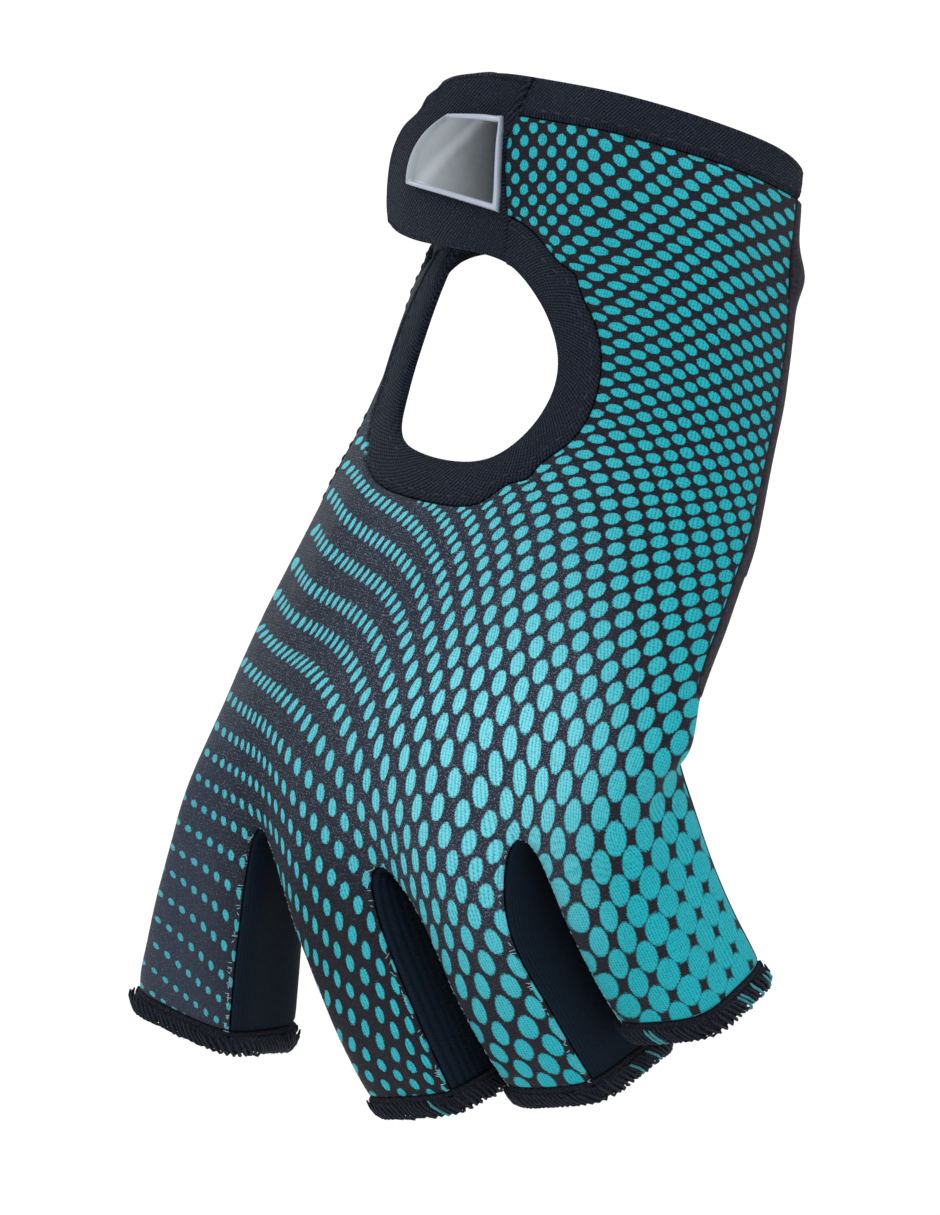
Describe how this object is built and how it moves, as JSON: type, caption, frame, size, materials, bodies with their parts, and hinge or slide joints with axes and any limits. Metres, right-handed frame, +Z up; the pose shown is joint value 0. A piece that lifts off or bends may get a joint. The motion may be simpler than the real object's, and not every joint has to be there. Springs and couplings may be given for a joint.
{
  "type": "weightlifting glove",
  "caption": "Fingerless left-hand lifting glove held in its worn form: printed stretch back, suede palm, wrist tab with blank badge, keyhole, open thumb and open overlocked finger stalls.",
  "frame": {"origin": "centre of the wrist opening, where the wrist that the glove is held on goes in", "axes": "+Z up along the wrist, so the fingers point down; the back of the hand faces -Y and the thumb side is -X"},
  "size_m": [0.1026, 0.0592, 0.1643],
  "materials": {
    "printed_knit": "black stretch knit printed with teal halftone dots that grow toward the little finger",
    "microsuede": "dark grey napped microsuede",
    "badge_plate": "glossy grey plate with a raised pale rim, no lettering",
    "side_knit": "fine navy-black knit",
    "overlock_edge": "black overlock thread over the cut edge",
    "plain_black_cloth": "plain black cloth",
    "edge_tape": "folded black elastic tape with fine diagonal ribs and stitching"
  },
  "bodies": {
    "root": {"back_panel": "printed_knit", "palm_panel": "microsuede", "fourchette_index_middle": "side_knit", "fourchette_middle_ring": "side_knit", "fourchette_ring_little": "side_knit", "cuff_binding": "edge_tape", "keyhole_binding": "edge_tape", "thumb_binding": "edge_tape", "closure_tab": "edge_tape", "tab_badge": "badge_plate", "closure_landing": "plain_black_cloth", "heel_pad": "plain_black_cloth", "hem_index": "overlock_edge", "hem_middle": "overlock_edge", "hem_ring": "overlock_edge", "hem_little": "overlock_edge"}
  },
  "joints": []
}
